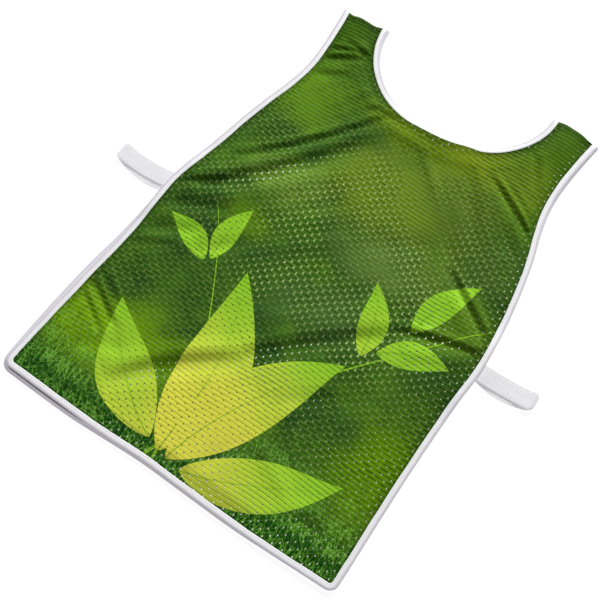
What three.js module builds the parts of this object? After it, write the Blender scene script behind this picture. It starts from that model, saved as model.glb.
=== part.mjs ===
// Caddy bib laid flat: a front and a back panel of eyelet mesh, joined at the shoulders, bound
// all round with folded tape, and held at each side by a loop of flat elastic.
// Millimetres, +Z up. +Y runs from the hem to the neck and +X to the viewer's right. The origin
// is the middle of the whole bib on the surface that it lies on.

import * as THREE from 'three';

// Walls, and the gap that sewn pieces keep
const CLOTH_WALL = 1.2;
const TAPE_WALL = 1.0;
const ELASTIC_WALL = 1.2;
const SEAM_GAP = 0.3;

// The binding tape's width on each face of the cloth, from the cloth's own edge
const TAPE_WIDTH = 8.5;
const TAPE_OUTSIDE = SEAM_GAP + TAPE_WALL;
const TAPE_BEVEL = 0.5;
// The level strip of cloth along a bound edge, which the tape wraps
const BORDER = 11;
const INSET = TAPE_OUTSIDE + BORDER;

// Outline of the bib's outer edge, tape included
const HEM_Y = -354;
const CORNER_RADIUS = 22;
// up is the height above the hem, left and right are the widths from the middle,
// and peek is how far the back panel's left edge lies outside the front's
const SIDES = [
  { up: -10, left: 262, right: 245, peek: 3 },
  { up: 27, left: 261, right: 245, peek: 3.5 },
  { up: 87, left: 257.5, right: 244, peek: 5 },
  { up: 167, left: 251, right: 243, peek: 6 },
  { up: 227, left: 245.5, right: 243.5, peek: 4.5 },
  { up: 287, left: 244, right: 245, peek: 1.5 },
  { up: 337, left: 242.5, right: 248, peek: 0 },
  { up: 387, left: 233, right: 245.5, peek: 0 },
  { up: 427, left: 224.5, right: 241, peek: 0 },
  { up: 467, left: 217, right: 234.5, peek: 0 },
  { up: 507, left: 208, right: 226, peek: 0 },
  { up: 547, left: 197.5, right: 214.5, peek: 0 },
  { up: 587, left: 190.5, right: 206.5, peek: 0 },
  { up: 627, left: 191, right: 205.5, peek: 0 },
  { up: 667, left: 195, right: 209, peek: 0 },
  { up: 715, left: 201, right: 216, peek: 0 },
];
// The hem's rise above its line at some places across, for each panel
const HEM = [
  { across: -265, front: 0, back: -2.5 },
  { across: -150, front: -1, back: -4.5 },
  { across: -95, front: -0.5, back: -2 },
  { across: -40, front: 2, back: 1 },
  { across: 30, front: 0, back: -0.5 },
  { across: 100, front: -1.2, back: -1.5 },
  { across: 160, front: 0.5, back: 0.5 },
  { across: 205, front: 2.5, back: 2.5 },
  { across: 245, front: 4, back: 4 },
];
// The neck is the lower half of an ellipse, here the opening inside its tape
const NECK = { x: 7.4, y: 352.8, halfWidth: 134, depth: 114 };
// Height of each shoulder's edge at some places across
const LEFT_SHOULDER = [
  { across: -202, top: 342 },
  { across: -183, top: 344.5 },
  { across: -150, top: 346 },
  { across: -126, top: 347 },
];
const RIGHT_SHOULDER = [
  { across: 141, top: 353 },
  { across: 160, top: 357.5 },
  { across: 188, top: 357 },
  { across: 216, top: 350 },
];

// Levels of the layers, by the middle of each cloth wall
const BACK_LEVEL = CLOTH_WALL / 2;
const BACK_EDGE_LEVEL = TAPE_WALL + SEAM_GAP + CLOTH_WALL / 2;
const BACK_TAPE_TOP = BACK_EDGE_LEVEL + CLOTH_WALL / 2 + SEAM_GAP + TAPE_WALL;
const FRONT_EDGE_LEVEL = BACK_TAPE_TOP + SEAM_GAP + TAPE_WALL + SEAM_GAP + CLOTH_WALL / 2;
const FRONT_LEVEL = 5.2;
const LAYER_CLEARANCE = CLOTH_WALL + 2 * SEAM_GAP;
const LEVEL_RAMP = 34;

// Where the elastics lift the front edge: the middle, the flat half length and the ramp along Y
const LIFT = { y: -24, flat: 34, ramp: 42, across: 60, rise: 2 * (ELASTIC_WALL + SEAM_GAP) };

// The front's main folds. Each runs from x1, y1 to x2, y2, bowed to its left by bow, with its
// half width and its rise above the cloth around it, or its depth where that is negative.
const FOLDS = [
  { x1: -205, y1: 52, x2: -72, y2: 236, bow: -2, width: 20, rise: 3.2 },
  { x1: -235, y1: 0, x2: -36, y2: 240, bow: -5, width: 13, rise: -4.8 },
  { x1: -220, y1: -10, x2: -54, y2: 198, bow: -2, width: 15, rise: 4.4 },
  { x1: -236, y1: -50, x2: -46, y2: 185, bow: 3, width: 15, rise: -4.4 },
  { x1: -190, y1: -40, x2: -68, y2: 124, bow: 0, width: 20, rise: 4.2 },
  { x1: -226, y1: -88, x2: -168, y2: -62, bow: 2, width: 12, rise: -3 },
  { x1: -158, y1: -84, x2: -116, y2: -46, bow: 0, width: 12, rise: -2.8 },
  { x1: 90, y1: 234, x2: 222, y2: 170, bow: 2, width: 12, rise: -4.6 },
  { x1: 98, y1: 212, x2: 222, y2: 148, bow: 3, width: 15, rise: 3.4 },
  { x1: 132, y1: 105, x2: 242, y2: 15, bow: -5, width: 12, rise: -4.6 },
  { x1: 148, y1: 124, x2: 240, y2: 50, bow: -3, width: 16, rise: 3.6 },
  { x1: 236, y1: 16, x2: 20, y2: -100, bow: -12, width: 17, rise: -4.4 },
  { x1: 226, y1: 42, x2: 66, y2: -30, bow: -8, width: 17, rise: 3.2 },
  { x1: 232, y1: -34, x2: 70, y2: -112, bow: -8, width: 18, rise: 3.8 },
  { x1: -140, y1: -280, x2: -28, y2: -184, bow: 3, width: 18, rise: -3.8 },
  { x1: -138, y1: -248, x2: -20, y2: -132, bow: 2, width: 18, rise: 4.2 },
  { x1: 99, y1: -122, x2: 98, y2: -190, bow: 0, width: 14, rise: -3.4 },
  { x1: 203, y1: -228, x2: 228, y2: -206, bow: 0, width: 14, rise: -3 },
  { x1: -178, y1: 250, x2: -130, y2: 300, bow: -4, width: 12, rise: -5 },
  { x1: 18, y1: 214, x2: 112, y2: 104, bow: 3, width: 14, rise: -3.4 },
  { x1: 40, y1: 222, x2: 130, y2: 118, bow: 3, width: 14, rise: 2.6 },
  { x1: 98, y1: 164, x2: 142, y2: 106, bow: 2, width: 12, rise: -2.8 },
  { x1: 158, y1: 192, x2: 200, y2: 136, bow: 2, width: 12, rise: -2.8 },
];

// Panel grid: cells across each strap and across the neck, rows up to the neck, and up a strap
const FRONT_GRID = { strap: 6, neck: 10, body: 36, up: 7, corner: 5 };
const BACK_GRID = { strap: 4, neck: 8, body: 20, up: 5, corner: 5 };
// Height of the straps' foot above the hem, and how often a strap point's place is settled
const STRAP_FOOT_UP = 607;
const SETTLE_PASSES = 4;
// The front's turned-down edge at the shoulder
const LIP = 1.5;
const LIP_TURN = 0.2;
const LIP_ROUND = 1.0;

// Side elastics: where each leaves the side, where its fold reaches, and the middle of the band
// along Y at the back panel, at the front panel and at the fold
const ELASTIC_WIDTH = 24;
const ELASTICS = [
  { name: 'elastic_left', side: -1, edge: 243, fold: 326.5, atBack: -31, atFront: -22.5, atFold: -22 },
  { name: 'elastic_right', side: 1, edge: 248, fold: 326.5, atBack: -19.5, atFront: -17.5, atFold: -12.5 },
];
// The band's route from the back panel to the front: near the side it is measured out from the
// edge, and near the fold it is measured back from the fold
const ELASTIC_ROUTE = [
  { from: 'edge', out: -8, z: 4.7 },
  { from: 'edge', out: -1, z: 4.7 },
  { from: 'edge', out: 4, z: 4.45 },
  { from: 'edge', out: 13, z: 2.2 },
  { from: 'edge', out: 23, z: 0.9 },
  { from: 'edge', out: 33, z: 0.6 },
  { from: 'fold', out: -28, z: 0.6 },
  { from: 'fold', out: -14, z: 0.6 },
  { from: 'fold', out: -7, z: 0.62 },
  { from: 'fold', out: -2.6, z: 1.2 },
  { from: 'fold', out: -0.7, z: 2.9 },
  { from: 'fold', out: -2.8, z: 4.5 },
  { from: 'fold', out: -8, z: 4.5 },
  { from: 'fold', out: -17, z: 3.1 },
  { from: 'fold', out: -30, z: 2.25 },
  { from: 'edge', out: 35, z: 2.25 },
  { from: 'edge', out: 24, z: 2.6 },
  { from: 'edge', out: 14, z: 4.0 },
  { from: 'edge', out: 5, z: 6.05 },
  { from: 'edge', out: -1, z: 6.25 },
  { from: 'edge', out: -8, z: 6.25 },
];

const MESH_GREEN = new THREE.MeshStandardMaterial({ color: 0x4f8a1e, roughness: 0.7, metalness: 0 });
const INSIDE_GREEN = new THREE.MeshStandardMaterial({ color: 0x5a8f33, roughness: 0.75, metalness: 0 });
const WHITE_TAPE = new THREE.MeshStandardMaterial({ color: 0xececec, roughness: 0.7, metalness: 0 });
const WHITE_ELASTIC = new THREE.MeshStandardMaterial({ color: 0xe4e4e4, roughness: 0.8, metalness: 0 });

const lerp = THREE.MathUtils.lerp;
const smoothstep = THREE.MathUtils.smoothstep;

// Value of a named column at a place, on a smooth curve through the table's rows
function column(table, place, name, at) {
  const last = table.length - 1;
  let i = 0;
  while (i < last - 1 && at > table[i + 1][place]) i += 1;
  const slope = (k) => {
    const a = table[Math.max(k - 1, 0)];
    const b = table[Math.min(k + 1, last)];
    return (b[name] - a[name]) / (b[place] - a[place]);
  };
  const span = table[i + 1][place] - table[i][place];
  const t = (at - table[i][place]) / span;
  const t2 = t * t;
  const t3 = t2 * t;
  return (2 * t3 - 3 * t2 + 1) * table[i][name] + (t3 - 2 * t2 + t) * span * slope(i)
    + (3 * t2 - 2 * t3) * table[i + 1][name] + (t3 - t2) * span * slope(i + 1);
}

// The cut of one panel as it lies: the tape's outer edge, moved in by inset
function cut(isBack) {
  const hemName = isBack ? 'back' : 'front';
  return {
    left: (y, inset) => {
      const up = y - HEM_Y;
      const peek = isBack ? column(SIDES, 'up', 'peek', up) : 0;
      return -column(SIDES, 'up', 'left', up) - peek + inset;
    },
    right: (y, inset) => column(SIDES, 'up', 'right', y - HEM_Y) - inset,
    hem: (x, inset) => HEM_Y + column(HEM, 'across', hemName, x) + inset,
    neck: (angle, inset) => new THREE.Vector2(
      NECK.x + (NECK.halfWidth + inset) * Math.cos(angle),
      NECK.y + (NECK.depth + inset) * Math.sin(angle),
    ),
  };
}

// Angle on the neck ellipse, moved out by inset, at a height on its left or right side
function neckAngle(y, inset, side) {
  const rise = Math.asin((y - NECK.y) / (NECK.depth + inset));
  return side < 0 ? -Math.PI - rise : rise;
}

function foldRise(x, y) {
  let rise = 0;
  for (const fold of FOLDS) {
    const dx = fold.x2 - fold.x1;
    const dy = fold.y2 - fold.y1;
    const long = Math.hypot(dx, dy);
    const along = ((x - fold.x1) * dx + (y - fold.y1) * dy) / (long * long);
    if (along <= 0 || along >= 1) continue;
    const hump = 4 * along * (1 - along);
    const aside = ((y - fold.y1) * dx - (x - fold.x1) * dy) / long - fold.bow * hump;
    rise += fold.rise * Math.sqrt(hump) * Math.exp(-((aside / fold.width) ** 2));
  }
  return rise;
}

// How far inside the bound edges a point lies: 0 on their level strip, 1 well inside
function insideness(shape, x, y) {
  const step = (distance) => smoothstep(distance, 0, LEVEL_RAMP);
  const aroundNeck = Math.hypot(
    (x - NECK.x) / (NECK.halfWidth + INSET),
    (y - NECK.y) / (NECK.depth + INSET),
  );
  const fromNeck = (aroundNeck - 1) * (NECK.depth + INSET);
  return step(x - shape.left(y, INSET)) * step(shape.right(y, INSET) - x)
    * step(y - shape.hem(x, INSET)) * step(fromNeck);
}

function backLevel(shape, x, y) {
  return lerp(BACK_EDGE_LEVEL, BACK_LEVEL, insideness(shape, x, y));
}

function frontLevel(shape, x, y) {
  const beside = Math.min(x - shape.left(y, INSET), shape.right(y, INSET) - x);
  const liftAlong = 1 - smoothstep(Math.abs(y - LIFT.y), LIFT.flat, LIFT.flat + LIFT.ramp);
  const lift = LIFT.rise * liftAlong * (1 - smoothstep(beside, 0, LIFT.across));
  const inside = insideness(shape, x, y);
  const level = lerp(FRONT_EDGE_LEVEL, FRONT_LEVEL + foldRise(x, y), inside) + lift;
  return Math.max(level, backLevel(shape, x, y) + LAYER_CLEARANCE);
}

// A growing sheet of cloth: points with their level, and faces between them. lip is 1 and 2 on
// the two rows of the shoulder's turned edge, and 0 or less elsewhere.
class Cloth {
  points = [];
  faces = [];

  add(x, y, z, lip = 0) {
    this.points.push({ x, y, z, lip });
    return this.points.length - 1;
  }

  quad(a, b, c, d) {
    this.faces.push([a, b, c], [a, c, d]);
  }

  // Cells between two rows of points, the upper one after the lower one
  weave(below, above) {
    for (let i = 0; i + 1 < below.length; i += 1) {
      this.quad(below[i], below[i + 1], above[i + 1], above[i]);
    }
  }
}

// Where each grain column ends at the top of the body: along each strap's foot and round the
// neck between them, with the share of the width at which the column runs
function columnTops(shape, grid) {
  const footY = HEM_Y + STRAP_FOOT_UP;
  const left = shape.left(footY, INSET);
  const right = shape.right(footY, INSET);
  const angles = [-1, 1].map((side) => neckAngle(footY, INSET, side));
  const [neckLeft, neckRight] = angles.map((angle) => shape.neck(angle, INSET).x);
  const foot = (from, to, share) => new THREE.Vector2(lerp(from, to, share), footY);
  const tops = [];
  for (let i = 0; i < grid.strap; i += 1) tops.push(foot(left, neckLeft, i / grid.strap));
  for (let i = 0; i <= grid.neck; i += 1) {
    tops.push(shape.neck(lerp(angles[0], angles[1], i / grid.neck), INSET));
  }
  for (let i = 1; i <= grid.strap; i += 1) tops.push(foot(neckRight, right, i / grid.strap));
  return tops.map((top) => ({ y: top.y, share: (top.x - left) / (right - left) }));
}

// Rows of points from the hem up to the column tops, inside the bound edges
function layBody(cloth, shape, grid, levelAt) {
  const tops = columnTops(shape, grid);
  const corner = (CORNER_RADIUS - INSET) * (1 - Math.SQRT1_2);
  const rows = [];
  for (let j = 0; j <= grid.body; j += 1) {
    rows.push(tops.map((top, i) => {
      const hemX = lerp(shape.left(HEM_Y, INSET), shape.right(HEM_Y, INSET), top.share);
      let y = lerp(shape.hem(hemX, INSET), top.y, j / grid.body);
      let x = lerp(shape.left(y, INSET), shape.right(y, INSET), top.share);
      const atSide = Math.sign(top.share - 0.5);
      if (j === 0 && (i === 0 || i === tops.length - 1)) {
        x -= atSide * corner;
        y += corner;
      }
      return cloth.add(x, y, levelAt(shape, x, y));
    }));
    if (j > 0) cloth.weave(rows[j - 1], rows[j]);
  }
  return rows;
}

// Rows of points from a strap's foot up to its shoulder, from the viewer's left to right
function layStrap(cloth, shape, grid, levelAt, side, foot) {
  const shoulder = side < 0 ? LEFT_SHOULDER : RIGHT_SHOULDER;
  const footY = HEM_Y + STRAP_FOOT_UP;
  const heightAt = (k, x) => {
    const top = column(shoulder, 'across', 'top', x);
    if (k === grid.up + 2) return top;
    if (k === grid.up + 1) return top - LIP;
    return lerp(footY, top - LIP - LIP_TURN, k / grid.up);
  };
  const rows = [];
  for (let k = 1; k <= grid.up + 2; k += 1) {
    const row = foot.map((_, i) => {
      const share = i / grid.strap;
      let x = side < 0 ? shape.left(footY, INSET) : shape.right(footY, INSET);
      let y = heightAt(k, x);
      for (let pass = 0; pass < SETTLE_PASSES; pass += 1) {
        const outer = side < 0 ? shape.left(y, INSET) : shape.right(y, INSET);
        const atNeck = shape.neck(neckAngle(y, INSET, side), INSET).x;
        x = side < 0 ? lerp(outer, atNeck, share) : lerp(atNeck, outer, share);
        y = heightAt(k, x);
      }
      return cloth.add(x, y, levelAt(shape, x, y), k - grid.up);
    });
    cloth.weave(k === 1 ? foot : rows[k - 2], row);
    rows.push(row);
  }
  return rows;
}

// The points of a bound edge, one beside each inner point, at that point's level
function boundEdges(cloth, shape, grid, body, leftStrap, rightStrap) {
  const beside = (inner, place) => {
    const from = cloth.points[inner];
    const at = place(from);
    return { id: cloth.add(at.x, at.y, from.z, from.lip), inner };
  };
  const onLeft = (inner) => beside(inner, ({ y }) => ({ x: shape.left(y, TAPE_OUTSIDE), y }));
  const onRight = (inner) => beside(inner, ({ y }) => ({ x: shape.right(y, TAPE_OUTSIDE), y }));
  const onHem = (inner) => beside(inner, ({ x }) => ({ x, y: shape.hem(x, TAPE_OUTSIDE) }));
  const onNeck = (inner) => beside(inner, ({ x, y }) => {
    const up = (y - NECK.y) / (NECK.depth + INSET);
    const across = (x - NECK.x) / (NECK.halfWidth + INSET);
    return shape.neck(Math.atan2(up, across), TAPE_OUTSIDE);
  });
  const roundCorner = (inner, side) => {
    const x = side < 0 ? shape.left(HEM_Y, CORNER_RADIUS) : shape.right(HEM_Y, CORNER_RADIUS);
    const centre = new THREE.Vector2(x, shape.hem(x, CORNER_RADIUS));
    const radius = CORNER_RADIUS - TAPE_OUTSIDE;
    const start = side < 0 ? Math.PI : -Math.PI / 2;
    const arc = [];
    for (let k = 0; k <= grid.corner; k += 1) {
      const angle = start + (k / grid.corner) * Math.PI / 2;
      const at = { x: centre.x + radius * Math.cos(angle), y: centre.y + radius * Math.sin(angle) };
      arc.push({ ...beside(inner, () => at), centre });
    }
    return arc;
  };

  const last = body[0].length - 1;
  const sideRows = body.slice(1);
  const leftUp = [...sideRows, ...leftStrap].map((row) => row[0]);
  const rightUp = [...sideRows.map((row) => row[last]), ...rightStrap.map((row) => row[grid.strap])];
  const left = [...leftUp.reverse().map(onLeft), ...roundCorner(body[0][0], -1)];
  const right = [...roundCorner(body[0][last], 1), ...rightUp.map(onRight)];
  const hem = [left[left.length - 1], ...body[0].slice(1, last).map(onHem), right[0]];
  const neckRow = body[grid.body].slice(grid.strap, grid.strap + grid.neck + 1);
  const neckDown = leftStrap.map((row) => row[grid.strap]).reverse();
  const neck = [...neckDown, ...neckRow, ...rightStrap.map((row) => row[0])].map(onNeck);
  return { left, hem, right, neck };
}

// The level strip between a bound edge and the inner grid
function layBorder(cloth, edge, clothOnLeft) {
  for (let k = 0; k + 1 < edge.length; k += 1) {
    const a = edge[k];
    const b = edge[k + 1];
    const loop = a.inner === b.inner ? [a.id, b.id, a.inner] : [a.id, b.id, b.inner, a.inner];
    if (!clothOnLeft) loop.reverse();
    if (loop.length === 3) cloth.faces.push(loop);
    else cloth.quad(...loop);
  }
}

// One panel: its points follow the grain inside, with a level strip to each bound edge
function layPanel(isBack, grid, levelAt) {
  const shape = cut(isBack);
  const cloth = new Cloth();
  const body = layBody(cloth, shape, grid, levelAt);
  const foot = body[grid.body];
  const leftFoot = foot.slice(0, grid.strap + 1);
  const rightFoot = foot.slice(grid.strap + grid.neck);
  const leftStrap = layStrap(cloth, shape, grid, levelAt, -1, leftFoot);
  const rightStrap = layStrap(cloth, shape, grid, levelAt, 1, rightFoot);
  const edges = boundEdges(cloth, shape, grid, body, leftStrap, rightStrap);
  layBorder(cloth, [...edges.left, ...edges.hem.slice(1, -1), ...edges.right], true);
  layBorder(cloth, edges.neck, false);
  return { points: cloth.points, faces: cloth.faces, edges };
}

function geometryOf(vertices, triangles) {
  const geometry = new THREE.BufferGeometry();
  geometry.setAttribute('position', new THREE.Float32BufferAttribute(vertices.flat(), 3));
  geometry.setIndex(triangles.flat());
  geometry.computeVertexNormals();
  return geometry;
}

// The panel's wall: its points moved up and down by half the cloth, closed along open edges.
// At the shoulder the front turns down to meet the back.
function panelGeometry(panel, turnsDown) {
  const count = panel.points.length;
  const half = CLOTH_WALL / 2;
  const lipBottom = BACK_EDGE_LEVEL + half + SEAM_GAP;
  const top = panel.points.map(({ x, y, z, lip }) => {
    const rounded = turnsDown && lip === 2 ? LIP_ROUND : 0;
    return [x, y, z + half - rounded];
  });
  const bottom = panel.points.map(({ x, y, z, lip }) => [x, y, turnsDown && lip > 0 ? lipBottom : z - half]);
  const triangles = [];
  const open = new Map();
  for (const [a, b, c] of panel.faces) {
    triangles.push([a, b, c], [count + a, count + c, count + b]);
    for (const [from, to] of [[a, b], [b, c], [c, a]]) {
      if (!open.delete(`${to} ${from}`)) open.set(`${from} ${to}`, [from, to]);
    }
  }
  for (const [from, to] of open.values()) {
    triangles.push([from, count + from, count + to], [from, count + to, to]);
  }
  return geometryOf([...top, ...bottom], triangles);
}

// A closed solid through like sections, with a cap at each end
function sweepGeometry(sections, outline) {
  const sides = outline.length;
  const triangles = [];
  for (let k = 0; k + 1 < sections.length; k += 1) {
    for (let s = 0; s < sides; s += 1) {
      const a = k * sides + s;
      const b = k * sides + (s + 1) % sides;
      triangles.push([a, b, b + sides], [a, b + sides, a + sides]);
    }
  }
  const lastSection = (sections.length - 1) * sides;
  for (const [a, b, c] of THREE.ShapeUtils.triangulateShape(outline, [])) {
    triangles.push([a, c, b], [lastSection + a, lastSection + b, lastSection + c]);
  }
  return geometryOf(sections.flat(), triangles);
}

// The folded tape's section round the cloth's edge: in is the way onto the cloth, up is from
// the middle of the cloth wall
function tapeOutline() {
  const inner = CLOTH_WALL / 2 + SEAM_GAP;
  const outer = inner + TAPE_WALL;
  const nose = -TAPE_OUTSIDE;
  return [
    [TAPE_WIDTH, -outer], [TAPE_WIDTH, -inner], [-SEAM_GAP, -inner], [-SEAM_GAP, inner],
    [TAPE_WIDTH, inner], [TAPE_WIDTH, outer], [nose + TAPE_BEVEL, outer], [nose, outer - TAPE_BEVEL],
    [nose, -outer + TAPE_BEVEL], [nose + TAPE_BEVEL, -outer],
  ].map(([along, up]) => new THREE.Vector2(along, up));
}

// Tape along one bound edge, with each end held back by the seam gap
function tapeGeometry(panel, edge, clothOnLeft) {
  const outline = tapeOutline();
  const stations = edge.map(({ id, inner, centre }) => {
    const at = panel.points[id];
    const toward = centre ?? new THREE.Vector2(panel.points[inner].x, panel.points[inner].y);
    const inward = toward.clone().sub(new THREE.Vector2(at.x, at.y)).normalize();
    return { at: new THREE.Vector3(at.x, at.y, at.z), inward };
  });
  const holdBack = (end, next) => {
    const way = next.at.clone().sub(end.at).setLength(SEAM_GAP);
    end.at.add(way);
  };
  holdBack(stations[0], stations[1]);
  holdBack(stations[stations.length - 1], stations[stations.length - 2]);
  const sections = stations.map(({ at, inward }) => outline.map((corner) => [
    at.x + inward.x * corner.x, at.y + inward.y * corner.x, at.z + corner.y,
  ]));
  if (!clothOnLeft) sections.reverse();
  return sweepGeometry(sections, outline);
}

// The elastic band: a thin flat section along its route out to the fold and back
function elasticGeometry(elastic) {
  const half = ELASTIC_WIDTH / 2;
  const route = ELASTIC_ROUTE.map(({ from, out, z }) => new THREE.Vector2(elastic[from] + out, z));
  const turn = ELASTIC_ROUTE.findIndex(({ from, out }) => from === 'fold' && out > -1);
  const sections = route.map((at, k) => {
    const before = route[Math.max(k - 1, 0)];
    const after = route[Math.min(k + 1, route.length - 1)];
    const along = after.clone().sub(before).normalize();
    const side = new THREE.Vector2(-along.y, along.x).multiplyScalar(ELASTIC_WALL / 2);
    const end = k < turn ? elastic.atBack : elastic.atFront;
    const share = (at.x - elastic.edge) / (elastic.fold - elastic.edge);
    const y = lerp(end, elastic.atFold, Math.max(share, 0));
    const corner = (sign, width) => [elastic.side * (at.x + sign * side.x), y + width, at.y + sign * side.y];
    return [corner(1, -half), corner(1, half), corner(-1, half), corner(-1, -half)];
  });
  if (elastic.side > 0) sections.reverse();
  const outline = [[0, 0], [1, 0], [1, 1], [0, 1]].map(([a, b]) => new THREE.Vector2(a, b));
  return sweepGeometry(sections, outline);
}

function addPiece(bib, name, geometry, material) {
  const mesh = new THREE.Mesh(geometry, material);
  mesh.name = name;
  bib.add(mesh);
}

// The tape ends below the shoulder's turned edge, so it leaves out the rows of the lip
function withoutLip(panel, edge) {
  return edge.filter(({ id }) => !(panel.points[id].lip > 0));
}

const bib = new THREE.Group();
const layers = [
  { name: 'front', panel: layPanel(false, FRONT_GRID, frontLevel), material: MESH_GREEN, turnsDown: true },
  { name: 'back', panel: layPanel(true, BACK_GRID, backLevel), material: INSIDE_GREEN, turnsDown: false },
];
for (const { name, panel, material, turnsDown } of layers) {
  addPiece(bib, `${name}_panel`, panelGeometry(panel, turnsDown), material);
  for (const side of ['left', 'hem', 'right', 'neck']) {
    const tape = tapeGeometry(panel, withoutLip(panel, panel.edges[side]), side !== 'neck');
    addPiece(bib, `${side}_tape_${name}`, tape, WHITE_TAPE);
  }
}
for (const elastic of ELASTICS) addPiece(bib, elastic.name, elasticGeometry(elastic), WHITE_ELASTIC);

export default bib;
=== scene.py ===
# Caddy bib laid flat on a pale table: a front and a back of printed eyelet mesh, joined at the
# shoulders, with white folded binding on every edge and a loop of white elastic at each side.
# Metres, +Z up. +Y runs from the hem to the neck. The cut's tables are in millimetres.

import math

import bpy
import numpy as np
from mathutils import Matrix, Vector
from mathutils.geometry import delaunay_2d_cdt


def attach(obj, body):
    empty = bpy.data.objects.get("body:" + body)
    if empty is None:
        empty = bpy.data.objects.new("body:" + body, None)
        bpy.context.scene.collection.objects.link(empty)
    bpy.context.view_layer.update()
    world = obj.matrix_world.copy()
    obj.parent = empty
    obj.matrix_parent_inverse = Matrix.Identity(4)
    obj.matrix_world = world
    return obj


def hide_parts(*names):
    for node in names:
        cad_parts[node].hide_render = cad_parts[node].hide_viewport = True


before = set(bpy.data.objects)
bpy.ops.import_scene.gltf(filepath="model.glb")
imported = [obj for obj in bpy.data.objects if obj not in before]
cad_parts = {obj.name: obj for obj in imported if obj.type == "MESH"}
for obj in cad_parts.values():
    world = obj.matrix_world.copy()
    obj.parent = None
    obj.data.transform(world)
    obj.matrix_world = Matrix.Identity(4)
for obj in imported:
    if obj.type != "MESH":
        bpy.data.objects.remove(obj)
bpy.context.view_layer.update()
bpy.ops.object.select_all(action="DESELECT")

# The table: a plain white top, wide enough for every view of the bib.
# It glows a little, as a light table does, so that it stays even and near white.
TABLE_SIZE = 9.0
TABLE_TOP = -0.0002
TABLE_GLOW = 0.86

bpy.ops.mesh.primitive_plane_add(size=TABLE_SIZE, location=(0, 0, TABLE_TOP))
table_top = bpy.context.object
table_top.name = "table_top"
laminate = bpy.data.materials.new("pale_laminate")
laminate.use_nodes = True
laminate_shader = laminate.node_tree.nodes["Principled BSDF"]
laminate_shader.inputs["Base Color"].default_value = (0.3, 0.3, 0.3, 1)
laminate_shader.inputs["Roughness"].default_value = 0.6
laminate_shader.inputs["Emission Color"].default_value = (1, 1, 1, 1)
laminate_shader.inputs["Emission Strength"].default_value = TABLE_GLOW
table_top.data.materials.append(laminate)

# The studio: a wide soft lamp low beyond the neck, a weaker one at the hem's left,
# and a pale room all round.
ROOM_LIGHT = 0.15
LAMPS = [
    {"name": "key_softbox", "azimuth": 188, "elevation": 23, "distance": 6.0, "size": 1.85, "power": 515},
    {"name": "fill_softbox", "azimuth": -40, "elevation": 60, "distance": 2.6, "size": 1.6, "power": 7},
]

room = bpy.data.worlds.new("pale_room")
room.use_nodes = True
room.node_tree.nodes["Background"].inputs["Color"].default_value = (1, 1, 1, 1)
room.node_tree.nodes["Background"].inputs["Strength"].default_value = ROOM_LIGHT
bpy.context.scene.world = room
bpy.context.scene.view_settings.view_transform = "Standard"


def direction(azimuth, elevation):
    """The way from the bib to a lamp or the camera. Azimuth 0 is at the hem and 90 at the right."""
    a, e = math.radians(azimuth), math.radians(elevation)
    return Vector((math.sin(a) * math.cos(e), -math.cos(a) * math.cos(e), math.sin(e)))


for row in LAMPS:
    lamp = bpy.data.lights.new(row["name"], "AREA")
    lamp.size = row["size"]
    lamp.energy = row["power"]
    toward = direction(row["azimuth"], row["elevation"])
    lamp_object = bpy.data.objects.new(row["name"], lamp)
    lamp_object.location = toward * row["distance"]
    lamp_object.rotation_euler = toward.to_track_quat("Z", "Y").to_euler()
    bpy.context.scene.collection.objects.link(lamp_object)

# The camera looks down at the bib from beyond its lower right, as the photographer did.
PHOTO_AZIMUTH = 34.5
PHOTO_ELEVATION = 69.5
PHOTO_DISTANCE = 1.3689
PHOTO_AIM = Vector((0.0034, -0.0672, 0.006))
PHOTO_LENS = 63.2

camera = bpy.data.cameras.new("photo_camera")
camera.lens = PHOTO_LENS
camera.sensor_width = 36
camera.clip_start = 0.05
camera_object = bpy.data.objects.new("photo_camera", camera)
away = direction(PHOTO_AZIMUTH, PHOTO_ELEVATION)
camera_object.location = PHOTO_AIM + away * PHOTO_DISTANCE
camera_object.rotation_euler = away.to_track_quat("Z", "Y").to_euler()
bpy.context.scene.collection.objects.link(camera_object)
bpy.context.scene.camera = camera_object

# The front: one piece of knitted polyester with open eyelets, cut with a scooped neck and two
# armholes, and printed on its outer face. It lies on the back in long soft folds that run from
# the sides to the chest. First its cut, in millimetres from the middle of the bib.
MM = 0.001
HEM_LINE = -354
CORNER_ROUNDS = {"front": 13, "back": 18}
NECK_ACROSS = 7.4
NECK_LINE = 352.8
NECK_HALF_WIDTH = 134
NECK_DEPTH = 114
EDGE_STEP = 4.0
CORNER_STEPS = 10
SETTLE_ROUNDS = 4


def columns(names, rows):
    """A table with named columns, as arrays."""
    return dict(zip(names.split(), np.array(rows, float).T))


# Height above the hem, widths from the middle, and how far the back's edges lie outside
SIDES = columns("up left right left_peek right_peek", [
    (-10, 262, 245, 3, 0),
    (27, 261, 245, 3.5, 0),
    (87, 257.5, 244, 5, 0),
    (167, 251, 243, 6, 0),
    (227, 245.5, 243.5, 4.5, 0),
    (287, 244, 245, 1.5, 0),
    (337, 242.5, 248, 0, 0),
    (387, 233, 245.5, 0, 0),
    (427, 224.5, 241, 0, 0),
    (467, 217, 234.5, 0, 0),
    (507, 208, 226, 0, 0.5),
    (547, 197.5, 214.5, 0, 1),
    (587, 190.5, 206.5, 0, 1.5),
    (627, 191, 205.5, 0, 2),
    (667, 195, 209, 0.5, 2),
    (715, 201, 216, 1, 1),
])
# The hem's rise above its line at places across
HEM = columns("across front back", [
    (-265, 3, -2.5),
    (-150, 1, -4.5),
    (-95, 1, -2),
    (-40, 3, 0.5),
    (30, 1.2, -0.5),
    (100, 0, -1.5),
    (160, 1, 0.5),
    (205, 2.5, 2.5),
    (245, 4, 4),
])
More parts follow.
